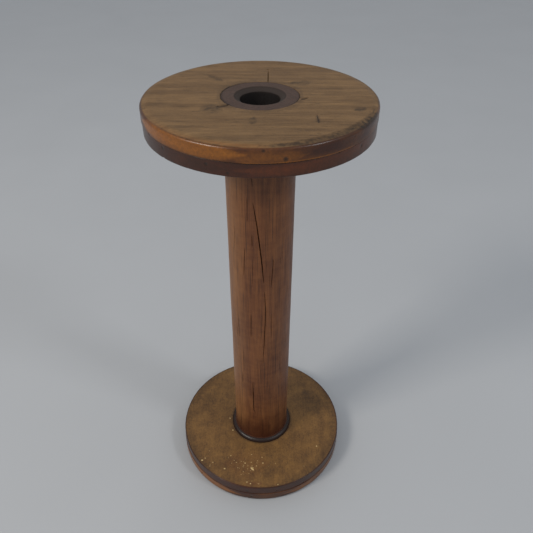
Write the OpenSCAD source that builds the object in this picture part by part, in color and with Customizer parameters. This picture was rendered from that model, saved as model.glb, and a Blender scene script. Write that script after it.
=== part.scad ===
// Wooden bobbin: a turned barrel with a tenon at each end, and a flange of two crossed plies on each tenon.
// Millimetres, +Z up. The origin is the centre of the face that the bobbin stands on.

/* [Flanges] */
// Diameter of a flange, over the rim of its outer ply
flange_d = 101.6; // [80:0.1:140]
// Thickness of the ply on the outer side of a flange
outer_ply_t = 6.7; // [5:0.1:12]
// Thickness of the ply on the winding side of a flange
inner_ply_t = 6; // [4:0.1:12]
// How far the rim of the inner ply lies behind the rim of the outer ply
ply_step = 0.25; // [0:0.05:1]
// Width of the bevel round the outer face
bevel_w = 3.6; // [1:0.1:6]
// Height of the bevel round the outer face
bevel_h = 1.3; // [0.3:0.1:2.5]
// Radius of the round between the bevel and the rim
rim_round_r = 1.2; // [0.4:0.1:2]
// Radius of the rim's edge beside the winding space
inner_edge_r = 0.6; // [0.2:0.1:2]

/* [Barrel] */
// Length of the winding space, from one flange to the other
winding_l = 206.4; // [60:0.1:300]
// Diameter of the barrel that the thread is wound on
barrel_d = 33.2; // [28:0.1:36.8]
// Diameter of the tenon that passes through a flange
tenon_d = 33.6; // [30:0.1:40]
// Width of the shoulder bead that a flange seats on, outside its tenon
bead_w = 2.3; // [2:0.1:6]
// Height of the shoulder bead
bead_h = 2.4; // [1:0.1:8]

/* [Bore] */
// Diameter of the spindle bore
bore_d = 17.5; // [8:0.1:20]
// Width of the countersunk mouth of the bore
mouth_w = 2.4; // [0.5:0.1:4]
// Depth of the countersunk mouth of the bore
mouth_h = 1.6; // [0.5:0.1:6]

/* [Fit] */
// Glue gap all round between a tenon and the hole in its plies
glue_gap = 0.1; // [0.05:0.01:0.3]

/* [Hidden] */

$fn = 128;
arc_steps = 8;

flange_r = flange_d / 2;
flange_t = outer_ply_t + inner_ply_t;
overall_h = winding_l + 2 * flange_t;
barrel_r = barrel_d / 2;
tenon_r = tenon_d / 2;
bead_r = tenon_r + bead_w;
bore_r = bore_d / 2;
mouth_r = bore_r + mouth_w;
hole_r = tenon_r + glue_gap;

// The bevel falls at this angle, and its round is no larger than the bevel can carry
bevel_fall = atan2(bevel_h, bevel_w);
round_half_turn = (90 - bevel_fall) / 2;
bevel_share = 0.9;
round_r = min(rim_round_r, bevel_share * norm([bevel_w, bevel_h]) / tan(round_half_turn));
round_drop = (round_r + sin(bevel_fall) * (bevel_w - round_r)) / cos(bevel_fall);

// Points of an arc about [x, z], from one angle to another; rx and rz are its half axes
function arc(x, z, rx, rz, from, to) =
    [for (i = [0 : arc_steps])
        let (a = from + (to - from) * i / arc_steps)
        [x + rx * cos(a), z + rz * sin(a)]];

// Half of the barrel's outline below its middle, from the bore out to the barrel's surface
function barrel_half() = concat(
    [[bore_r, mouth_h], [mouth_r, 0], [tenon_r, 0], [tenon_r, flange_t]],
    arc(barrel_r, flange_t, bead_r - barrel_r, bead_h, 0, 90)
);

// The same outline turned over, to end the barrel at its top
function turned_over(points) =
    [for (i = [len(points) - 1 : -1 : 0]) [points[i].x, overall_h - points[i].y]];

module turned(points) {
    rotate_extrude() polygon(points);
}

module barrel() {
    color("#6b4226")
        turned(concat(barrel_half(), turned_over(barrel_half())));
}

// An outer ply with its bevelled face up and its glued face at z = 0
module outer_ply() {
    color("#8a6238")
        turned(concat(
            [[hole_r, 0], [flange_r, 0]],
            arc(flange_r - round_r, outer_ply_t - round_drop, round_r, round_r, 0, 2 * round_half_turn),
            [[flange_r - bevel_w, outer_ply_t], [hole_r, outer_ply_t]]
        ));
}

// An inner ply with its glued face up and its winding face at z = 0
module inner_ply() {
    rim_r = flange_r - ply_step;
    color("#5b3420")
        turned(concat(
            [[hole_r, 0]],
            arc(rim_r - inner_edge_r, inner_edge_r, inner_edge_r, inner_edge_r, -90, 0),
            [[rim_r, inner_ply_t], [hole_r, inner_ply_t]]
        ));
}

module bottom_outer_ply() {
    translate([0, 0, outer_ply_t]) mirror([0, 0, 1]) outer_ply();
}

module bottom_inner_ply() {
    translate([0, 0, flange_t]) mirror([0, 0, 1]) inner_ply();
}

module top_inner_ply() {
    translate([0, 0, overall_h - flange_t]) inner_ply();
}

module top_outer_ply() {
    translate([0, 0, overall_h - outer_ply_t]) outer_ply();
}

barrel();
bottom_outer_ply();
bottom_inner_ply();
top_inner_ply();
top_outer_ply();
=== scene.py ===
"""Looks of a turned wooden bobbin: its barrel, the two plies of each flange, and the stage they stand on.

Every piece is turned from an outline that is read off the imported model, then checked, chipped and worn.
"""
import math
import random
from collections import namedtuple

import bpy
import numpy as np
from bpy.props import FloatProperty, FloatVectorProperty, IntProperty, PointerProperty
from mathutils import Matrix, Vector, noise


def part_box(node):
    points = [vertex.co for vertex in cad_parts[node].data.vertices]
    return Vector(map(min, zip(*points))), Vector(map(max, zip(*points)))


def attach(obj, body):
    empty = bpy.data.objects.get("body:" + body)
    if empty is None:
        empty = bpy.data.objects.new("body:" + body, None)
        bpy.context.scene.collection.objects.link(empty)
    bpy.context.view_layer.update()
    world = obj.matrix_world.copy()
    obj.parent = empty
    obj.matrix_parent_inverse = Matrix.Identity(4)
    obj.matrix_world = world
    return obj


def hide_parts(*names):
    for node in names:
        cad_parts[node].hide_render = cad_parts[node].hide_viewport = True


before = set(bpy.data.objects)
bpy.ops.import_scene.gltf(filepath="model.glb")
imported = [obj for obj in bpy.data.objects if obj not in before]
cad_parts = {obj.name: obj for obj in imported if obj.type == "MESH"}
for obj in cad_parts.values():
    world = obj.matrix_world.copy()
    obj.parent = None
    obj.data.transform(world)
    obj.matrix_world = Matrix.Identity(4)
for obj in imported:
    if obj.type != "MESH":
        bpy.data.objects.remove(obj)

bl_info = {
    "name": "Wooden bobbin",
    "version": (1, 0, 0),
    "blender": (4, 5, 0),
    "location": "View3D > Sidebar > Bobbin",
    "description": "Builds a worn wooden bobbin with two flanges of crossed plies",
    "category": "Add Mesh",
}

MM = 0.001


def srgb(red, green, blue):
    """A colour as a screen shows it, 0 to 255, in the linear values that Blender works with."""
    shares = [channel / 255 for channel in (red, green, blue)]
    return tuple(((s + 0.055) / 1.055) ** 2.4 if s > 0.04045 else s / 12.92 for s in shares)


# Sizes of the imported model


def rings(node):
    """Radius and height of each ring of points on a turned CAD node."""
    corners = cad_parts[node].data.vertices
    return sorted({(round(math.hypot(v.co.x, v.co.y), 6), round(v.co.z, 6)) for v in corners})


SAME = 0.05 * MM
BARREL = rings("barrel")
INNER_PLY = rings("bottom_inner_ply")
OUTER_PLY = rings("bottom_outer_ply")

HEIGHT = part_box("barrel")[1].z
BORE_R = BARREL[0][0]
BEAD_R = BARREL[-1][0]
MOUTH_R = min(r for r, z in BARREL if z < SAME)
TENON_R = max(r for r, z in BARREL if z < SAME)
MOUTH_H = min(z for r, z in BARREL if r < BORE_R + SAME)
OUTER_T = max(z for r, z in OUTER_PLY)
FLANGE_T = max(z for r, z in INNER_PLY)
BARREL_R = min(r for r, z in BARREL if FLANGE_T < z < HEIGHT / 2 and r > BORE_R + SAME)
BEAD_H = min(z for r, z in BARREL if z > FLANGE_T and r < BARREL_R + SAME and r > BORE_R + SAME) - FLANGE_T
HOLE_R = OUTER_PLY[0][0]
RIM_R = OUTER_PLY[-1][0]
FACE_R = max(r for r, z in OUTER_PLY if z < SAME)
ROUND_H = min(z for r, z in OUTER_PLY if r > RIM_R - SAME)
INNER_RIM_R = INNER_PLY[-1][0]
INNER_EDGE_R = INNER_RIM_R - max(r for r, z in INNER_PLY if z > FLANGE_T - SAME)


# What a user may change


def length(label, text, default, **limits):
    """A length in metres."""
    return FloatProperty(name=label, description=text, default=default, unit="LENGTH", precision=5, **limits)


def power(label, text, default):
    """The power of a lamp in watts."""
    return FloatProperty(name=label, description=text, default=default, unit="POWER")


def colour(label, text, default):
    """A colour of a surface."""
    return FloatVectorProperty(
        name=label, description=text, default=default, subtype="COLOR", size=3, min=0, max=1
    )


class BarrelSettings(bpy.types.PropertyGroup):
    """Sizes and colours of the barrel."""

    sides: IntProperty(name="Sides", description="Faces round the barrel", default=256, min=64, max=400)
    row_height: length("Row height", "Height of a row of faces on the wall", 1.5 * MM, min=0.5 * MM)
    arris: length("Worn arris", "Width of the worn edge at the ends of the tenons", 0.12 * MM)
    unevenness: length("Unevenness", "How far the wall dips from a true cylinder", 0.16 * MM)
    end_sink: length("End sink", "How far the end grain lies below the face of a flange", 0.1 * MM)
    hair_checks: IntProperty(name="Hair checks", description="Fine checks all round", default=60, min=0)
    pale: colour("Pale wood", "Pale streaks of the barrel", srgb(120, 74, 38))
    dark: colour("Dark wood", "Dark streaks of the barrel", srgb(70, 34, 15))
    # Pale rubbed varnish, which also paints light on the barrel's left side, where the key lamp shines
    rubbed: colour("Rubbed wood", "Where the varnish of the barrel is rubbed thin", srgb(134, 92, 54))
    # Darker colour towards the foot of the barrel
    foot: colour("Foot", "Dark varnish at the foot of the barrel", srgb(58, 24, 11))
    bead: colour("Bead", "Varnish on the beads", srgb(30, 14, 10))
    end_grain: colour("End grain", "Ends of the tenons", srgb(70, 49, 40))
    mouth: colour("Mouth", "Countersunk mouths of the bore", srgb(44, 33, 27))
    # Near black: painted shade deep inside the bore
    bore: colour("Bore", "Wall of the bore", srgb(20, 14, 12))
    # Also the dark grain lines, the dirt in the joints, and the painted shade in the checks and other cuts
    check: colour("Checks", "Bottom of the drying checks", srgb(30, 12, 5))


class PlySettings(bpy.types.PropertyGroup):
    """Sizes and colours of the four plies."""

    sides: IntProperty(name="Sides", description="Faces round a ply", default=320, min=64, max=480)
    row_width: length("Row width", "Width of a ring of faces on a flat side", 0.55 * MM, min=0.3 * MM)
    hole_arris: length("Hole arris", "Width of the worn edge of the hole", 0.15 * MM)
    rim_arris: length("Rim arris", "Width of the worn edges where two plies meet", 0.18 * MM)
    wear: length("Wear", "How far the bevel and the rim are worn down", 0.22 * MM)
    nicks: IntProperty(name="Nicks", description="Dents round the rim of a ply", default=14, min=0)
    face_pale: colour("Face, pale", "Pale streaks of an outer face", srgb(122, 92, 56))
    face_dark: colour("Face, dark", "Dark streaks of an outer face", srgb(82, 58, 32))
    inside_pale: colour("Inside, pale", "Pale clouds of an inner face", srgb(124, 88, 42))
    inside_dark: colour("Inside, dark", "Dark clouds of an inner face", srgb(78, 52, 25))
    # Also shows the painted light on the outer rims, on their sides that face the lamps
    amber: colour("Amber varnish", "Rim where the varnish is thin", srgb(134, 80, 24))
    brown: colour("Brown varnish", "Rim where the varnish is thick", srgb(58, 29, 18))
    inner_amber: colour("Inner rim", "Rim of an inner ply where the varnish is thin", srgb(88, 44, 20))
    # Dark colour of dirt in the wood, and also of the painted shade and painted shadows on the plies
    soil: colour("Soil", "Oil and dirt in the wood", srgb(34, 23, 15))
    fleck: colour("Flecks", "Dried flecks on the inner faces", srgb(204, 174, 118))


class StageSettings(bpy.types.PropertyGroup):
    """The floor, the light and the camera."""

    floor_size: length("Floor size", "Width of the floor", 4.0)
    floor: colour("Floor", "Colour of the floor", srgb(168, 168, 168))
    backdrop: colour("Backdrop", "What the camera sees past the floor", srgb(172, 171, 168))
    sky: colour("Sky", "Light from all round", srgb(206, 212, 220))
    key_power: power("Key light", "Power of the key light", 7.0)
    fill_power: power("Fill light", "Power of the fill light", 3.0)


class BobbinSettings(bpy.types.PropertyGroup):
    """All that a user may change."""

    barrel: PointerProperty(type=BarrelSettings)
    ply: PointerProperty(type=PlySettings)
    stage: PointerProperty(type=StageSettings)


# Turning


def arc(centre, half_axes, start, end, rows):
    """Points of an outline on an elliptical arc, between two angles in degrees, a row of faces each."""
    points = []
    for row in range(1, rows + 1):
        angle = math.radians(start + (end - start) * row / rows)
        radius = centre[0] + half_axes[0] * math.cos(angle)
        height = centre[1] + half_axes[1] * math.sin(angle)
        points.append((radius, height, 1))
    return points


def rows_in(distance, row):
    """How many rows of faces fit a distance."""
    return max(1, round(abs(distance) / row))


def turn(name, outline, sides):
    """Turns a closed outline round the Z axis.

    Each of its points is a radius, a height and the rows of faces on the way to it. It ends where it began.
    """
    bpy.ops.object.select_all(action="DESELECT")
    radius, height, _ = outline[0]
    bpy.ops.mesh.primitive_plane_add(size=MM, location=(radius, 0, height))
    piece = bpy.context.object
    piece.name = piece.data.name = name
    bpy.ops.object.transform_apply(location=True, rotation=False, scale=False)
    bpy.ops.object.mode_set(mode="EDIT")
    bpy.ops.mesh.select_mode(type="VERT")
    bpy.ops.mesh.select_all(action="SELECT")
    bpy.ops.mesh.merge(type="CENTER")
    for (from_r, from_z, _), (to_r, to_z, rows) in zip(outline, outline[1:]):
        step = ((to_r - from_r) / rows, 0, (to_z - from_z) / rows)
        for _ in range(rows):
            bpy.ops.mesh.extrude_region_move(TRANSFORM_OT_translate={"value": step})
    bpy.ops.mesh.select_all(action="SELECT")
    bpy.ops.mesh.spin(steps=sides, angle=math.tau, center=(0, 0, 0), axis=(0, 0, 1))
    bpy.ops.mesh.select_all(action="SELECT")
    bpy.ops.mesh.remove_doubles(threshold=0.01 * MM)
    bpy.ops.mesh.normals_make_consistent(inside=False)
    bpy.ops.object.mode_set(mode="OBJECT")
    return piece


def points_of(piece):
    """The places of a piece's points, one row each."""
    places = np.empty(len(piece.data.vertices) * 3)
    piece.data.vertices.foreach_get("co", places)
    return places.reshape(-1, 3)


def move_points(piece, places):
    """Puts a piece's points in new places."""
    piece.data.vertices.foreach_set("co", places.ravel())
    piece.data.update()


def drift(places, size, seed):
    """Smooth noise from -1 to 1, in lumps of a size given along X, Y and Z."""
    shift = Vector((seed * 7.3, seed * 3.1, seed * 5.7))
    return np.array([noise.noise(Vector(place) + shift) for place in places / np.array(size)])


def blend(value, low, high):
    """0 up to low, 1 from high on, and smooth between."""
    share = np.clip((value - low) / (high - low), 0, 1)
    return share * share * (3 - 2 * share)


# A mark follows a path in space. Its depth is in metres, or a share from 0 to 1 where it only colours the
# surface, as stains, wear, painted light and painted shade do.
# Below 0 it stands proud of the surface
Mark = namedtuple("Mark", "path width depth")


def covers(places, mark):
    """How much a mark covers each place: 1 along its middle, 0 past its edges. Its ends are narrow."""
    path = np.array(mark.path)
    lengths = np.linalg.norm(np.diff(path, axis=0), axis=1)
    whole = max(lengths.sum(), SAME)
    share = np.zeros(len(places))
    before = 0.0
    for start, end, stretch in zip(path, path[1:], lengths):
        way = (end - start) / max(stretch, SAME)
        along = np.clip((places - start) @ way, 0, stretch)
        distance = np.linalg.norm(places - start - along[:, None] * way, axis=1)
        middle = 1 - abs(2 * (before + along) / whole - 1) ** 3 if stretch > SAME else 1
        reach = mark.width / 2 * np.maximum(middle, 0.15)
        share = np.maximum(share, np.clip(1 - (distance / reach) ** 2, 0, 1))
        before += stretch
    return share


def patch_strength(places, marks):
    """How strongly the marks colour each place, for stains, wear, painted light and painted shade."""
    shade = np.zeros(len(places))
    for mark in marks:
        shade = np.maximum(shade, covers(places, mark) * mark.depth)
    return shade


def refine(piece, marks, margin, cuts):
    """Gives the piece finer faces where its marks lie."""
    centres = np.empty(len(piece.data.polygons) * 3)
    piece.data.polygons.foreach_get("center", centres)
    centres = centres.reshape(-1, 3)
    near = np.zeros(len(centres), bool)
    for mark in marks:
        near |= covers(centres, mark._replace(width=mark.width + 2 * margin)) > 0
    bpy.ops.object.mode_set(mode="EDIT")
    bpy.ops.mesh.select_mode(type="FACE")
    bpy.ops.mesh.select_all(action="DESELECT")
    bpy.ops.object.mode_set(mode="OBJECT")
    piece.data.polygons.foreach_set("select", near)
    bpy.ops.object.mode_set(mode="EDIT")
    bpy.ops.mesh.subdivide(number_cuts=cuts)
    bpy.ops.object.mode_set(mode="OBJECT")


def carve(piece, marks):
    """Sinks the marks into the piece, or raises them, and returns how dark each point is from them: painted
    shade and dirt in the cuts.
    """
    places = points_of(piece)
    normals = np.empty(len(places) * 3)
    piece.data.vertices.foreach_get("normal", normals)
    depth = np.zeros(len(places))
    shade = np.zeros(len(places))
    for mark in marks:
        share = covers(places, mark)
        if mark.depth > 0:
            depth = np.maximum(depth, share * mark.depth)
            shade = np.maximum(shade, share)
        else:
            depth = np.where(share > 0, share * mark.depth, depth)
    move_points(piece, places - normals.reshape(-1, 3) * depth[:, None])
    return shade


def store(piece, name, values):
    """Keeps one number per point, which the piece's material reads by its name."""
    layer = piece.data.attributes.new(name, "FLOAT", "POINT")
    layer.data.foreach_set("value", np.clip(values, 0, 1).astype(np.float32))


def finish_piece(piece, node, material):
    """Smooths the piece, gives it its material and puts it in the CAD node's stead."""
    bpy.ops.object.shade_smooth_by_angle(angle=math.radians(38))
    piece.data.materials.append(material)
    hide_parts(node)
    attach(piece, "root")


# Materials


class Value:
    """A socket of a material. Arithmetic on it adds Math nodes."""

    def __init__(self, finish, socket):
        self.finish = finish
        self.socket = socket

    def __add__(self, other):
        return self.finish.math("ADD", self, other)

    def __sub__(self, other):
        return self.finish.math("SUBTRACT", self, other)

    def __mul__(self, other):
        return self.finish.math("MULTIPLY", self, other)

    def __rsub__(self, other):
        return self.finish.math("SUBTRACT", other, self)

    def __pow__(self, other):
        return self.finish.math("POWER", self, other)

    __radd__ = __add__
    __rmul__ = __mul__


class Finish:
    """The nodes of one material."""

    def __init__(self, name):
        self.material = bpy.data.materials.new(name)
        self.material.use_nodes = True
        self.nodes = self.material.node_tree.nodes
        self.links = self.material.node_tree.links
        self.nodes.clear()
        place = self.add("ShaderNodeTexCoord", output="Object")
        values = {"Vector": place, "Scale": 1 / MM}
        self.place = self.add("ShaderNodeVectorMath", {"operation": "SCALE"}, values)

    def add(self, kind, settings=None, values=None, output=0):
        """Adds a node, sets it up, fills or links its sockets, and returns one of its outputs."""
        node = self.nodes.new(kind)
        for setting, value in (settings or {}).items():
            setattr(node, setting, value)
        for key, value in (values or {}).items():
            socket = self.free_socket(node, key)
            if isinstance(value, Value):
                self.links.new(value.socket, socket)
            else:
                socket.default_value = value
        if isinstance(output, str):
            return Value(self, next(s for s in node.outputs if s.name == output and s.enabled))
        return Value(self, [s for s in node.outputs if s.enabled][output])

    @staticmethod
    def free_socket(node, key):
        """The input of that name, or of that place among the inputs in use."""
        in_use = [s for s in node.inputs if s.enabled]
        return in_use[key] if isinstance(key, int) else next(s for s in in_use if s.name == key)

    def math(self, operation, *values):
        """One Math node."""
        return self.add("ShaderNodeMath", {"operation": operation}, dict(enumerate(values)))

    def step(self, value, low, high):
        """0 up to low, 1 from high on, and smooth between. Low may be the larger of the two."""
        if low > high:
            return 1 - self.step(value, high, low)
        settings = {"interpolation_type": "SMOOTHSTEP"}
        return self.add("ShaderNodeMapRange", settings, {"Value": value, "From Min": low, "From Max": high})

    def noise(self, size, seed, detail=2.0, roughness=0.5):
        """Soft noise about 0.5, in lumps of a size in millimetres along X, Y and Z."""
        scale = [1 / s for s in size]
        shift = (seed * 3.7, seed * 8.9, seed * 5.3)
        values = {"Vector": self.place, "Location": shift, "Scale": scale}
        vector = self.add("ShaderNodeMapping", None, values)
        values = {"Vector": vector, "Scale": 1.0, "Detail": detail, "Roughness": roughness}
        return self.add("ShaderNodeTexNoise", None, values)

    def mix(self, share, first, second):
        """The first colour where the share is 0, the second where it is 1."""
        colours = [c if isinstance(c, Value) else (*c, 1) for c in (first, second)]
        values = {"Factor": share, "A": colours[0], "B": colours[1]}
        return self.add("ShaderNodeMix", {"data_type": "RGBA"}, values)

    def attribute(self, name):
        """The number that the piece keeps at each of its points under that name."""
        return self.add("ShaderNodeAttribute", {"attribute_name": name}, output="Fac")

    def axis(self, name):
        """Where a place lies along X, Y or Z, in millimetres."""
        return self.add("ShaderNodeSeparateXYZ", None, {"Vector": self.place}, output=name)

    def radius(self):
        """How far a place lies from the axis of the bobbin, in millimetres."""
        x, y = self.axis("X"), self.axis("Y")
        return (x * x + y * y) ** 0.5

    def surface(self, base, roughness, height, depth, specular):
        """Ends the material with a varnished wood surface."""
        relief = {"Strength": 1.0, "Distance": depth, "Height": height}
        normal = self.add("ShaderNodeBump", None, relief)
        values = {
            "Base Color": base,
            "Roughness": roughness,
            "Specular IOR Level": specular,
            "Normal": normal,
        }
        shader = self.add("ShaderNodeBsdfPrincipled", None, values)
        self.add_end(shader)
        return self.material

    def add_end(self, shader):
        """Links a shader to the material's output."""
        end = self.nodes.new("ShaderNodeOutputMaterial")
        self.links.new(shader.socket, end.inputs["Surface"])


def grain_size(along, length_mm, width_mm):
    """The size of a streak of grain that runs along X, Y or Z."""
    return [length_mm if axis == along else width_mm for axis in "XYZ"]


def barrel_material(settings):
    """Streaked red-brown hardwood under a worn satin varnish, darker towards its foot, paler on its left side
    from rubbed varnish and painted light, with painted shade in its cuts and inside its bore.
    """
    finish = Finish("barrel_wood")
    height = finish.axis("Z")
    radius = finish.radius()
    broad = finish.step(finish.noise((4, 4, 120), 3, detail=3), 0.36, 0.64)
    fibres = finish.step(finish.noise((0.7, 0.7, 16), 4, detail=3, roughness=0.6), 0.34, 0.66)
    lines = finish.step(finish.noise((0.55, 0.55, 34), 5, detail=2), 0.6, 0.7)
    clouds = finish.step(finish.noise((11, 11, 17), 11, detail=4, roughness=0.6), 0.32, 0.68)
    curl = finish.step(finish.noise((6, 6, 2.4), 12, detail=2), 0.35, 0.65)
    tone = broad * 0.32 + fibres * 0.28 + clouds * 0.26 + curl * 0.14
    base = finish.mix(tone, settings.dark, settings.pale)
    # Paler on the left side: rubbed varnish and painted light from the key lamp's side
    base = finish.mix(finish.attribute("rub") * (0.35 + tone * 0.5), base, settings.rubbed)
    base = finish.mix(lines * 0.6, base, settings.check)
    foot_top = (FLANGE_T + BEAD_H) / MM
    # Darker towards the foot of the barrel, from about 26 mm above the bead down, with a clouded edge
    foot = finish.step(height + clouds * 7, foot_top + 26, foot_top + 2)
    base = finish.mix(foot * 0.8, base, settings.foot)
    wall_r = BARREL_R / MM
    bead = finish.step(radius, wall_r + 0.1, wall_r + 0.9)
    base = finish.mix(bead, base, settings.bead)
    middle = HEIGHT / MM / 2
    from_middle = finish.math("ABSOLUTE", height - middle)
    end = finish.step(from_middle, middle - 0.6, middle - 0.4)
    growth = finish.step(finish.noise((1.6, 0.5, 60), 15, detail=3), 0.4, 0.62)
    base = finish.mix(end, base, finish.mix(growth * 0.5, settings.end_grain, settings.mouth))
    mouth = finish.step(radius, MOUTH_R / MM + 0.3, MOUTH_R / MM - 0.2)
    base = finish.mix(mouth, base, settings.mouth)
    # Painted shade: the bore turns near black from 1 to 2.6 mm inside each mouth
    bore = finish.step(from_middle, middle - 1.0, middle - 2.6) * mouth
    base = finish.mix(bore, base, settings.bore)
    # Painted shade and dirt darken the checks and other cuts
    base = finish.mix(finish.attribute("groove_shade") * 0.9, base, settings.check)
    base = finish.mix(finish.attribute("soil") * 0.85, base, settings.check)
    gloss = finish.noise((14, 14, 30), 17, detail=2)
    roughness = 0.56 - gloss * 0.2 - foot * 0.08 + mouth * 0.2 + end * 0.15
    relief = fibres * 0.6 - lines + finish.noise((0.4, 0.4, 6), 19, detail=2) * 0.6
    return finish.surface(base, roughness, relief, 0.05 * MM, 0.4)


def ply_material(settings, ply, along, faces, rims, mottle):
    """A ply: dull streaked or mottled wood on its flat sides, clouded varnish on its rim."""
    seed = ply.seed
    finish = Finish(ply.node + "_wood")
    radius = finish.radius()
    broad = finish.step(finish.noise(grain_size(along, 70, 4.5), seed, detail=3), 0.36, 0.64)
    fibres = finish.noise(grain_size(along, 11, 0.8), seed + 1, detail=4, roughness=0.65)
    fibres = finish.step(fibres, 0.34, 0.66)
    clouds = finish.step(finish.noise((9, 9, 9), seed + 2, detail=5, roughness=0.62), 0.32, 0.68)
    grit = finish.step(finish.noise((1.1, 1.1, 1.1), seed + 3, detail=3, roughness=0.7), 0.34, 0.66)
    pores = finish.step(finish.noise(grain_size(along, 2.6, 0.45), seed + 4, detail=2), 0.6, 0.72)
    smears = finish.step(finish.noise(grain_size(along, 7, 2.4), seed + 5, detail=3), 0.56, 0.74)
    grain = broad * 0.5 + fibres * 0.5
    soft = clouds * 0.62 + grit * 0.38
    tone = grain * (1 - mottle) + soft * mottle
    face = finish.mix(tone, faces[0], faces[1])
    face = finish.mix(pores * 0.4 + smears * 0.25 * (1 - mottle), face, settings.soil)
    rub = finish.attribute("rub")
    # Rubbed varnish and painted light: where this is high, face and rim turn amber, as on the lamp-lit sides
    # of the outer rims and bevel
    specks = finish.step(finish.noise((0.8, 0.8, 0.8), seed + 6, detail=2, roughness=0.7), 0.6, 0.68)
    face = finish.mix(rub * (0.35 + specks * 0.5), face, rims[1])
    thin = rub * 0.9 + finish.step(finish.noise((14, 14, 4), seed + 7, detail=3), 0.3, 0.8) * 0.35
    rim = finish.mix(thin, rims[0], rims[1])
    rim = finish.mix(grit * 0.3, rim, settings.soil)
    edge_r = RIM_R / MM - 1.0
    varnish = finish.step(radius, edge_r - 0.2, edge_r + 0.3)
    base = finish.mix(varnish, face, rim)
    # Dirt and painted shade: dark joints and smudges, shade round the beads, and painted shadows
    soil = finish.attribute("soil")
    ragged = finish.step(finish.noise((2, 2, 2), seed + 8, detail=4, roughness=0.6), 0.3, 0.7)
    base = finish.mix(soil * (0.4 + ragged * 0.8), base, settings.soil)
    # Painted shade and dirt darken the cuts and nicks
    base = finish.mix(finish.attribute("groove_shade") * 0.9, base, settings.soil)
    base = finish.mix(finish.attribute("fleck") * (0.3 + grit), base, settings.fleck)
    gloss = finish.noise((12, 12, 6), seed + 9, detail=3)
    roughness = 0.72 - gloss * 0.16 - varnish * 0.34
    relief = fibres * 0.5 - pores + grit * 0.4
    return finish.surface(base, roughness, relief * (1 - varnish * 0.6), 0.04 * MM, 0.4)


# The pieces


def on_wall(*places):
    """A path on the barrel's wall, from angles round it in degrees and heights in millimetres."""
    turns = [(math.radians(angle), height * MM) for angle, height in places]
    return [(BARREL_R * math.cos(a), BARREL_R * math.sin(a), z) for a, z in turns]


def on_level(height, *places):
    """A path on a flat side at that height, from X and Y in millimetres."""
    return [(x * MM, y * MM, height) for x, y in places]


def on_round(radius, height, start, end):
    """A path round the axis at that radius and height, between two angles in degrees."""
    steps = rows_in(end - start, 5)
    turns = [math.radians(start + (end - start) * step / steps) for step in range(steps + 1)]
    return [(radius * math.cos(a), radius * math.sin(a), height) for a in turns]


def dot(path_point, width, depth):
    """A round mark about one place."""
    return Mark([path_point, path_point], width * MM, depth * MM)


def scratch(path, width, depth):
    """A long mark, with its width and depth in millimetres."""
    return Mark(path, width * MM, depth * MM)


def colour_patch(path, width, strength):
    """A patch of colour for stains, wear, painted light and painted shade, with its width in millimetres and
    its strength from 0 to 1.
    """
    return Mark(path, width * MM, strength)


def barrel_checks(count):
    """The drying checks of the wall: the ones on the front by their places, and hair checks all round."""
    checks = [
        scratch(on_wall((-103, 191), (-96, 177), (-91, 164), (-87, 152), (-84, 140)), 0.6, 1.1),
        scratch(on_wall((-84, 142), (-81, 123), (-84, 97), (-87, 80)), 0.45, 0.8),
        scratch(on_wall((-111, 194), (-112, 174)), 0.35, 0.4),
        scratch(on_wall((-104, 172), (-104, 163)), 0.4, 0.4),
        scratch(on_wall((-67, 158), (-72, 136)), 0.35, 0.5),
        scratch(on_wall((-117, 165), (-121, 143)), 0.35, 0.4),
        scratch(on_wall((-108, 122), (-109, 102)), 0.45, 0.5),
        scratch(on_wall((-70, 122), (-70, 100)), 0.3, 0.3),
        scratch(on_wall((-130, 72), (-131, 63)), 0.4, 0.4),
        scratch(on_wall((-107, 68), (-106, 42), (-100, 37)), 0.55, 0.8),
        scratch(on_wall((-104, 202), (-102, 196)), 0.3, 0.3),
    ]
    draw = random.Random(5)
    low, high = FLANGE_T / MM + 12, (HEIGHT - FLANGE_T) / MM - 8
    for _ in range(count):
        angle = draw.uniform(-180, 180)
        reach = draw.uniform(6, 30)
        start = draw.uniform(low, high - reach)
        lean = draw.uniform(-2.5, 2.5)
        path = on_wall((angle, start), (angle + lean, start + reach / 2), (angle + lean * 1.6, start + reach))
        checks.append(scratch(path, draw.uniform(0.2, 0.32), draw.uniform(0.12, 0.3)))
    return checks


def joint_soils(level):
    """Dirt in the joint between tenon and ply: a fine line all round, thick on the left and behind."""
    joint_r = (TENON_R + HOLE_R) / 2
    whole = [colour_patch(on_round(joint_r, level, start, start + 150), 0.5, 0.7) for start in (0, 90, 180, 270)]
    return whole + [
        colour_patch(on_round(joint_r, level, 95, 250), 1.0, 0.9),
        colour_patch(on_round(joint_r - 0.4 * MM, level, 165, 235), 1.3, 0.8),
        colour_patch(on_round(joint_r, level, -50, 20), 0.9, 0.7),
    ]


def away_from(places, angle):
    """How far each place lies round the axis from an angle in degrees, in radians."""
    turn_to = np.arctan2(places[:, 1], places[:, 0]) - math.radians(angle)
    return abs((turn_to + math.pi) % math.tau - math.pi)


def top_marks():
    """What has cut into the top face: a radial crack over ring and ply, chips at the joint, and scratches."""
    return [
        scratch(on_level(HEIGHT, (3.5, 13.4), (3.7, 33.6)), 0.4, 0.7),
        dot((3.7 * MM, 33.8 * MM, HEIGHT), 1.3, 0.5),
        scratch(on_level(HEIGHT, (-12.6, -10.6), (-14.6, -11.6), (-17.6, -13.2)), 2.6, 0.8),
        scratch(on_level(HEIGHT, (17.2, -5.4), (18.4, -4.0), (20.2, -2.2)), 1.7, 0.6),
        scratch(on_level(HEIGHT, (-35.5, 6.2), (-18.2, 5.6)), 0.4, 0.2),
        scratch(on_level(HEIGHT, (22.6, -21.5), (22.7, -29.8)), 0.6, 0.2),
    ]


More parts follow.
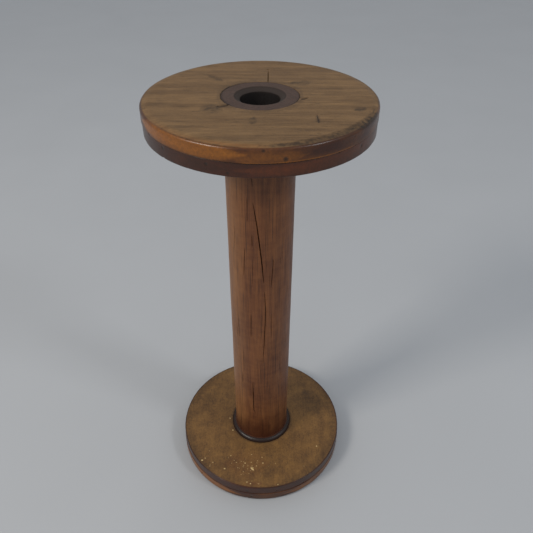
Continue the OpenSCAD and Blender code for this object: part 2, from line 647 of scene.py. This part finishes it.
def barrel_outline(settings):
    """From the middle of the bore down, out over the lower tenon and bead, up the wall and back."""
    sink = settings.end_sink
    arris = settings.arris
    row = settings.row_height
    mouth_drop = MOUTH_H - sink

    def half():
        """The points from the bore to the foot of the wall, with heights measured from the nearer end."""
        return [
            (BORE_R, MOUTH_H, rows_in(HEIGHT / 2, 10 * MM)),
            (MOUTH_R, sink, rows_in(mouth_drop, 0.3 * MM)),
            (TENON_R - arris, sink, rows_in(TENON_R - MOUTH_R, 0.5 * MM)),
            (TENON_R, sink + arris, 1),
            (TENON_R, FLANGE_T, 4),
            (BEAD_R, FLANGE_T, 3),
            *arc((BARREL_R, FLANGE_T), (BEAD_R - BARREL_R, BEAD_H), 0, 90, 10),
        ]

    lower = half()
    upper = [(r, HEIGHT - z, rows) for r, z, rows in lower]
    start = (BORE_R, HEIGHT / 2, 0)
    wall_rows = rows_in(HEIGHT - 2 * (FLANGE_T + BEAD_H), row)
    up = [(upper[-1][0], upper[-1][1], wall_rows)]
    rows_back = [rows for _, _, rows in upper[1:]]
    back = [(r, z, rows) for (r, z, _), rows in zip(upper[-2::-1], rows_back[::-1])]
    return [start, *lower, *up, *back, (BORE_R, HEIGHT / 2, lower[0][2])]


class BOBBIN_OT_barrel(bpy.types.Operator):
    """Turns the barrel with its two tenons and beads, and opens its drying checks"""

    bl_idname = "bobbin.barrel"
    bl_label = "Add Barrel"

    def execute(self, context):
        settings = context.scene.bobbin.barrel
        piece = turn("turned_barrel", barrel_outline(settings), settings.sides)
        checks = barrel_checks(settings.hair_checks)
        marks = checks + top_marks()
        refine(piece, marks, 0.35 * MM, 3)
        places = points_of(piece)
        radius = np.hypot(places[:, 0], places[:, 1])
        end_gap = np.minimum(places[:, 2], HEIGHT - places[:, 2]) - FLANGE_T - BEAD_H
        on_side = (radius > BARREL_R - SAME) * blend(end_gap, 0, 4 * MM)
        dips = 0.5 + 0.5 * drift(places, (0.012, 0.012, 0.03), 2) + 0.3 * drift(places, (0.03, 0.03, 0.006), 3)
        sink = settings.unevenness * np.clip(dips, 0, 1) * on_side
        places[:, :2] *= (1 - sink / radius)[:, None]
        move_points(piece, places)
        groove_shade = carve(piece, marks)
        store(piece, "groove_shade", groove_shade)
        store(piece, "soil", patch_strength(places, joint_soils(HEIGHT) + joint_soils(0)))
        # Paler towards the left side of the barrel: rubbed varnish and painted light where the key lamp falls
        store(piece, "rub", blend(away_from(places, -160), math.radians(52), math.radians(12)) * on_side)
        finish_piece(piece, "barrel", barrel_material(settings))
        return {"FINISHED"}


# The worn bevel of an outer ply: its fall per metre, how much wear deepens it, and the width of its round
BEVEL_SLOPE = 0.36
BEVEL_WEAR = 1.12
WORN_ROUND_W = 0.9 * MM


def ply_outline(settings, inner):
    """Half a flange's ply with its glued face at height 0 and its open face above."""
    hole_arris = settings.hole_arris
    rim_arris = settings.rim_arris
    if inner:
        thickness = FLANGE_T - OUTER_T
        edge_r = INNER_RIM_R
        rim = arc((edge_r - INNER_EDGE_R, thickness - INNER_EDGE_R), (INNER_EDGE_R, INNER_EDGE_R), 90, 0, 5)
        face_r = edge_r - INNER_EDGE_R
    else:
        thickness = OUTER_T
        edge_r = RIM_R
        bevel_drop = (ROUND_H - BEVEL_SLOPE * (RIM_R - FACE_R)) * BEVEL_WEAR
        round_r = edge_r - WORN_ROUND_W
        rim = [(round_r, thickness - bevel_drop, 5)]
        rim += arc((round_r, thickness - ROUND_H), (WORN_ROUND_W, ROUND_H - bevel_drop), 80, 0, 6)
        face_r = FACE_R
    return [
        (HOLE_R, thickness / 2, 0),
        (HOLE_R, thickness - hole_arris, 3),
        (HOLE_R + hole_arris, thickness, 2),
        (face_r, thickness, rows_in(face_r - HOLE_R, settings.row_width)),
        *rim,
        (edge_r, rim_arris, rows_in(thickness, 0.8 * MM)),
        (edge_r - rim_arris, 0, 2),
        (HOLE_R, 0, 8),
        (HOLE_R, thickness / 2, 3),
    ]


# What sets one ply apart: its place, what cuts it, what stains it, what wears its varnish thin, where light
# and shade are painted on it, and the seed of its wear
Ply = namedtuple("Ply", "node inner top marks soils rubs seed")


def make_ply(context, ply, material):
    """Turns, wears and marks one ply, and puts it in the place of its CAD node."""
    settings = context.scene.bobbin.ply
    node, inner, top, seed = ply.node, ply.inner, ply.top, ply.seed
    piece = turn("turned_" + node, ply_outline(settings, inner), settings.sides)
    places = points_of(piece)
    low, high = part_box(node)
    open_side_up = top != inner
    places[:, 2] = low.z + places[:, 2] if open_side_up else high.z - places[:, 2]
    move_points(piece, places)
    if not open_side_up:
        bpy.ops.object.mode_set(mode="EDIT")
        bpy.ops.mesh.select_all(action="SELECT")
        bpy.ops.mesh.normals_make_consistent(inside=False)
        bpy.ops.object.mode_set(mode="OBJECT")
    open_z = high.z if open_side_up else low.z
    marks = ply.marks + rim_nicks(settings.nicks, seed, low.z, high.z, inner)
    refine(piece, marks, 0.4 * MM, 2)
    places = points_of(piece)
    radius = np.hypot(places[:, 0], places[:, 1])
    from_open = abs(places[:, 2] - open_z)
    rim_r = radius.max()
    near_rim = blend(radius, rim_r - 6 * MM, rim_r - 1.5 * MM)
    worn = 0.5 + 0.5 * drift(places, (0.02, 0.02, 0.02), seed)
    worn = worn + 0.25 * drift(places, (0.004, 0.004, 0.004), seed + 1)
    worn = settings.wear * np.clip(worn, 0, 1)
    inwards = worn * near_rim
    places[:, :2] *= (1 - inwards / radius)[:, None]
    down = worn * 0.5 * blend(from_open, 2.5 * MM, 0) * blend(radius, HOLE_R, HOLE_R + 4 * MM)
    places[:, 2] += -down if open_side_up else down
    move_points(piece, places)
    cuts = [m for m in marks if m.depth > 0]
    flecks = [m for m in marks if m.depth < 0]
    shade = carve(piece, cuts)
    carve(piece, flecks)
    fleck = np.zeros(len(places))
    for mark in flecks:
        fleck = np.maximum(fleck, covers(places, mark))
    store(piece, "groove_shade", shade)
    store(piece, "fleck", fleck)
    store(piece, "soil", patch_strength(places, ply.soils))
    store(piece, "rub", patch_strength(places, ply.rubs))
    finish_piece(piece, node, material)


def rim_nicks(count, seed, low_z, high_z, inner):
    """Small dents round the rim."""
    draw = random.Random(seed)
    rim_r = INNER_RIM_R if inner else RIM_R
    nicks = []
    for _ in range(count):
        angle = draw.uniform(0, math.tau)
        height = draw.uniform(low_z, high_z)
        where = (rim_r * math.cos(angle), rim_r * math.sin(angle), height)
        nicks.append(dot(where, draw.uniform(0.8, 2.4), draw.uniform(0.08, 0.25)))
    return nicks


def top_soils_and_shade():
    """Oil and dirt on the top flange's outer ply, and a painted shadow line along the left-front of its lower
    edge.
    """
    face = HEIGHT
    bevel_r = (FACE_R + RIM_R) / 2 - 0.3 * MM
    bevel_z = HEIGHT - 0.6 * MM
    line_r = RIM_R - 0.9 * MM
    line_z = HEIGHT - 1.0 * MM
    return joint_soils(face) + [
        colour_patch(on_round(HOLE_R + 1 * MM, face, 0, 180), 7, 0.3),
        colour_patch(on_round(HOLE_R + 1 * MM, face, 180, 360), 7, 0.3),
        colour_patch(on_level(face, (-2.4, -23.5), (-2.8, -31)), 4, 0.6),
        colour_patch(on_level(face, (-15, -13), (-24, -17)), 12, 0.6),
        colour_patch(on_level(face, (-17, 18), (-24, 26)), 5, 0.5),
        colour_patch(on_level(face, (13, 14), (23, 17)), 8, 0.6),
        colour_patch(on_level(face, (22.6, -21), (22.7, -30)), 2, 0.6),
        colour_patch(on_level(face, (38, -17), (43, -14)), 5, 0.6),
        colour_patch(on_round(line_r, line_z, -153, -84), 1.0, 0.8),
        colour_patch(on_round(bevel_r, bevel_z, -90, -18), 4.2, 0.75),
        colour_patch(on_round(line_r, line_z, -44, -18), 3.2, 1.0),
        colour_patch(on_round(line_r - 0.4 * MM, line_z, -20, 16), 0.9, 0.8),
        colour_patch(on_round(line_r + 0.4 * MM, line_z, 16, 110), 0.9, 0.6),
        # Painted shadow: a dark line along the left-front of the lower edge, where the plies meet
        colour_patch(on_round(RIM_R, HEIGHT - OUTER_T, -175, -95), 1.2, 0.7),
    ]


def top_rubs_and_light():
    """Where the varnish of the top flange's outer ply is rubbed thin, and where light is painted on it: its
    left-front rim and bevel, facing the key lamp, and a painted highlight along the front-right of its lower
    edge.
    """
    bevel_r = (FACE_R + RIM_R) / 2
    return [
        # Paler left-front rim: rubbed varnish and painted light on the side that faces the key lamp
        colour_patch(on_round(RIM_R, HEIGHT - 3.4 * MM, -160, -96), 9, 1.0),
        colour_patch(on_round(RIM_R, HEIGHT - 4.4 * MM, -104, -70), 6, 0.35),
        # Paler front-left of the bevel: rubbed varnish and painted light from the key lamp
        colour_patch(on_round(bevel_r, HEIGHT - 0.7 * MM, -118, -84), 3.0, 0.8),
        # Painted highlight: a thin light line along the front-right of the lower edge, where the plies meet
        colour_patch(on_round(RIM_R, HEIGHT - OUTER_T + 0.3 * MM, -102, -40), 0.8, 0.8),
    ]


class BOBBIN_OT_outer_plies(bpy.types.Operator):
    """Turns the outer ply of each flange, with its bevelled and worn outer face"""

    bl_idname = "bobbin.outer_plies"
    bl_label = "Add Outer Plies"

    def execute(self, context):
        settings = context.scene.bobbin.ply
        faces = (settings.face_dark, settings.face_pale)
        rims = (settings.brown, settings.amber)
        for ply in (
            Ply("top_outer_ply", False, True, top_marks(), top_soils_and_shade(), top_rubs_and_light(), 21),
            Ply("bottom_outer_ply", False, False, [], joint_soils(0), bottom_rubs_and_light(), 41),
        ):
            material = ply_material(settings, ply, "X", faces, rims, 0.25)
            make_ply(context, ply, material)
        return {"FINISHED"}


def bottom_rubs_and_light():
    """Where the varnish of the bottom flange's outer ply is rubbed thin, with painted light on its rim: the
    left-front, facing the key lamp, and the right-front, facing the fill lamp.
    """
    return [
        # Rubbed varnish and painted light on the side facing the key lamp
        colour_patch(on_round(RIM_R, 4 * MM, -175, -105), 8, 0.9),
        # Rubbed varnish and painted light on the side facing the fill lamp
        colour_patch(on_round(RIM_R, 4 * MM, -75, -10), 7, 0.5),
    ]


def bottom_flecks():
    """Dried flecks on the inner face of the bottom flange: the large ones by place, and fine ones in front."""
    places = [
        (-36.8, -31.5, 1.3), (-35, -30, 0.8), (-30, -33, 0.8), (-22.5, -37.4, 1.2), (-10, -33.6, 0.9),
        (-6, -27.6, 0.8), (1, -33.6, 1.0), (35.2, -21.6, 1.2), (-20.9, 0, 1.0), (-18.6, -9.4, 1.0),
        (-8.5, -46.4, 1.2), (-6.4, -47.4, 1.0), (-1.5, -47.5, 0.9), (10, -48, 0.9),
    ]
    flecks = [dot((x * MM, y * MM, FLANGE_T), size, -0.08) for x, y, size in places]
    flecks.append(scratch(on_level(FLANGE_T, (-6.6, -36.4), (-4.6, -38.6)), 1.5, -0.12))
    draw = random.Random(9)
    for _ in range(46):
        x, y = draw.gauss(-9, 10), draw.gauss(-35, 6)
        if HOLE_R + 3 * MM < math.hypot(x, y) * MM < INNER_RIM_R - 1 * MM:
            flecks.append(dot((x * MM, y * MM, FLANGE_T), draw.uniform(0.4, 0.7), -0.04))
    return flecks


def inner_soils_and_shade(top):
    """Dirt and painted shade on an inner ply: painted shade in the corner round the bead, dirt towards the rim
    and in the line where the plies meet, and on the bottom ply a painted shadow right of and behind the
    barrel.
    """
    face = HEIGHT - FLANGE_T if top else FLANGE_T
    joint = HEIGHT - OUTER_T if top else OUTER_T
    # Painted shade: a dark ring in the corner where the bead meets the face
    soils = [colour_patch(on_round(BEAD_R, face, start, start + 150), 2.4, 0.5) for start in (0, 90, 180, 270)]
    soils += [colour_patch(on_round(INNER_RIM_R, face, start, start + 150), 14, 0.4) for start in (0, 90, 270)]
    soils += [colour_patch(on_round(INNER_RIM_R, joint, start, start + 150), 0.7, 0.6) for start in (0, 90, 180)]
    if top:
        soils.append(colour_patch(on_round(INNER_RIM_R, joint - 3 * MM, -178, -104), 10, 0.4))
    else:
        # Painted shadow of the barrel and the top flange, right of and behind the barrel
        soils.append(colour_patch(on_level(face, (38, 4), (30, 24)), 18, 0.35))
        soils.append(colour_patch(on_level(face, (-40, 10), (-30, 26)), 12, 0.25))
    return soils


def inner_rubs(top):
    """Where the varnish of an inner ply is rubbed thin."""
    if top:
        return [colour_patch(on_round(INNER_RIM_R, HEIGHT - OUTER_T - 3 * MM, -100, -10), 8, 0.8)]
    return [
        colour_patch(on_level(FLANGE_T, (-22, -34), (4, -34)), 26, 0.55),
        colour_patch(on_level(FLANGE_T, (-9, -47), (1, -47.6)), 3.4, 1.0),
        colour_patch(on_round(INNER_RIM_R - 1.2 * MM, FLANGE_T, -30, 60), 1.6, 0.6),
    ]


class BOBBIN_OT_inner_plies(bpy.types.Operator):
    """Turns the ply on the winding side of each flange, with its grain across that of the outer one"""

    bl_idname = "bobbin.inner_plies"
    bl_label = "Add Inner Plies"

    def execute(self, context):
        settings = context.scene.bobbin.ply
        faces = (settings.inside_dark, settings.inside_pale)
        rims = (settings.brown, settings.inner_amber)
        for ply in (
            Ply("top_inner_ply", True, True, [], inner_soils_and_shade(True), inner_rubs(True), 61),
            Ply("bottom_inner_ply", True, False, bottom_flecks(), inner_soils_and_shade(False), inner_rubs(False), 81),
        ):
            material = ply_material(settings, ply, "Y", faces, rims, 0.75)
            make_ply(context, ply, material)
        return {"FINISHED"}


# The stage

# The photograph's viewpoint, and how wide its lens looks
CAMERA_PLACE = Vector((1.5, -229.2, 315.5)) * MM
CAMERA_PITCH = math.radians(37.42)
CAMERA_YAW = math.radians(0.38)
CAMERA_ROLL = math.radians(0.21)
CAMERA_LENS_MM = 37.03
SENSOR_MM = 36.0

# Where the two lamps stand and how large they are, in metres, and the tints of their light
KEY_PLACE = (-0.80, -0.50, 0.90)
KEY_SIZE = 0.30
FILL_PLACE = (0.80, -0.45, 0.95)
FILL_SIZE = 0.20
WARM = (1.0, 0.96, 0.9)
COOL = (0.92, 0.96, 1.0)

# Faint darker patches of the floor
FLOOR_PATCH = (0.2, 0.2, 0.2)


def add_camera(context):
    """Puts the camera where the photograph was taken."""
    ahead = Vector((
        math.sin(CAMERA_YAW) * math.cos(CAMERA_PITCH),
        math.cos(CAMERA_YAW) * math.cos(CAMERA_PITCH),
        -math.sin(CAMERA_PITCH),
    ))
    right = Matrix.Rotation(-CAMERA_ROLL, 3, ahead) @ Vector((math.cos(CAMERA_YAW), -math.sin(CAMERA_YAW), 0))
    up = right.cross(ahead)
    bpy.ops.object.camera_add()
    camera = context.object
    camera.matrix_world = Matrix.Translation(CAMERA_PLACE) @ Matrix((right, up, -ahead)).transposed().to_4x4()
    camera.data.lens = CAMERA_LENS_MM
    camera.data.sensor_width = SENSOR_MM
    camera.data.clip_start = 1 * MM
    context.scene.camera = camera


def add_lamp(name, place, size, power, tint):
    """A soft square lamp that points at the middle of the bobbin and isn't seen itself."""
    bpy.ops.object.light_add(type="AREA", location=place)
    lamp = bpy.context.object
    lamp.name = name
    aim = Vector((0, 0, HEIGHT / 2)) - Vector(place)
    lamp.rotation_euler = aim.to_track_quat("-Z", "Y").to_euler()
    lamp.data.size = size
    lamp.data.energy = power
    lamp.data.color = tint
    lamp.visible_camera = False


def add_sky(settings):
    """A plain sky for light, and a pale backdrop for the camera and for reflections."""
    world = bpy.data.worlds.new("studio")
    world.use_nodes = True
    nodes, links = world.node_tree.nodes, world.node_tree.links
    nodes.clear()
    rays = nodes.new("ShaderNodeLightPath")
    seen = nodes.new("ShaderNodeMath")
    seen.operation = "MAXIMUM"
    links.new(rays.outputs["Is Camera Ray"], seen.inputs[0])
    links.new(rays.outputs["Is Glossy Ray"], seen.inputs[1])
    either = nodes.new("ShaderNodeMath")
    either.operation = "MAXIMUM"
    links.new(seen.outputs[0], either.inputs[0])
    links.new(rays.outputs["Is Transmission Ray"], either.inputs[1])
    sky = nodes.new("ShaderNodeBackground")
    sky.inputs["Color"].default_value = (*settings.sky, 1)
    backdrop = nodes.new("ShaderNodeBackground")
    backdrop.inputs["Color"].default_value = (*settings.backdrop, 1)
    pick = nodes.new("ShaderNodeMixShader")
    links.new(either.outputs[0], pick.inputs[0])
    links.new(sky.outputs[0], pick.inputs[1])
    links.new(backdrop.outputs[0], pick.inputs[2])
    end = nodes.new("ShaderNodeOutputWorld")
    links.new(pick.outputs[0], end.inputs["Surface"])
    bpy.context.scene.world = world


def floor_material(settings):
    """A matt pale floor with hardly any texture."""
    finish = Finish("floor")
    patches = finish.noise((90, 90, 90), 2, detail=2)
    base = finish.mix(patches * 0.12, settings.floor, FLOOR_PATCH)
    shader = finish.add("ShaderNodeBsdfPrincipled", None, {"Base Color": base, "Roughness": 0.8})
    finish.add_end(shader)
    return finish.material


class BOBBIN_OT_stage(bpy.types.Operator):
    """Adds the floor, the soft studio light and the camera"""

    bl_idname = "bobbin.stage"
    bl_label = "Add Stage"

    def execute(self, context):
        settings = context.scene.bobbin.stage
        add_camera(context)
        bpy.ops.object.select_all(action="DESELECT")
        bpy.ops.mesh.primitive_plane_add(size=settings.floor_size, location=(0, 0, 0))
        floor = context.object
        floor.name = "floor"
        floor.data.materials.append(floor_material(settings))
        add_lamp("key", KEY_PLACE, KEY_SIZE, settings.key_power, WARM)
        add_lamp("fill", FILL_PLACE, FILL_SIZE, settings.fill_power, COOL)
        add_sky(settings)
        context.scene.view_settings.view_transform = "Standard"
        return {"FINISHED"}


class BOBBIN_PT_build(bpy.types.Panel):
    """Lists the pieces of the bobbin and what can be changed on them"""

    bl_idname = "BOBBIN_PT_build"
    bl_label = "Wooden Bobbin"
    bl_space_type = "VIEW_3D"
    bl_region_type = "UI"
    bl_category = "Bobbin"

    def draw(self, context):
        settings = context.scene.bobbin
        for group, operators in (
            (settings.stage, (BOBBIN_OT_stage,)),
            (settings.barrel, (BOBBIN_OT_barrel,)),
            (settings.ply, (BOBBIN_OT_outer_plies, BOBBIN_OT_inner_plies)),
        ):
            box = self.layout.box()
            for operator in operators:
                box.operator(operator.bl_idname)
            for name in group.__annotations__:
                box.prop(group, name)


CLASSES = (
    BarrelSettings,
    PlySettings,
    StageSettings,
    BobbinSettings,
    BOBBIN_OT_stage,
    BOBBIN_OT_barrel,
    BOBBIN_OT_outer_plies,
    BOBBIN_OT_inner_plies,
    BOBBIN_PT_build,
)


def register():
    """Makes the operators, the settings and the panel known to Blender."""
    for cls in CLASSES:
        bpy.utils.register_class(cls)
    bpy.types.Scene.bobbin = PointerProperty(type=BobbinSettings)


def unregister():
    """Takes them out again."""
    del bpy.types.Scene.bobbin
    for cls in reversed(CLASSES):
        bpy.utils.unregister_class(cls)


def main():
    """Builds the whole scene."""
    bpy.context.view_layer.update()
    register()
    bpy.ops.bobbin.stage()
    bpy.ops.bobbin.barrel()
    bpy.ops.bobbin.outer_plies()
    bpy.ops.bobbin.inner_plies()


if __name__ == "__main__":
    main()
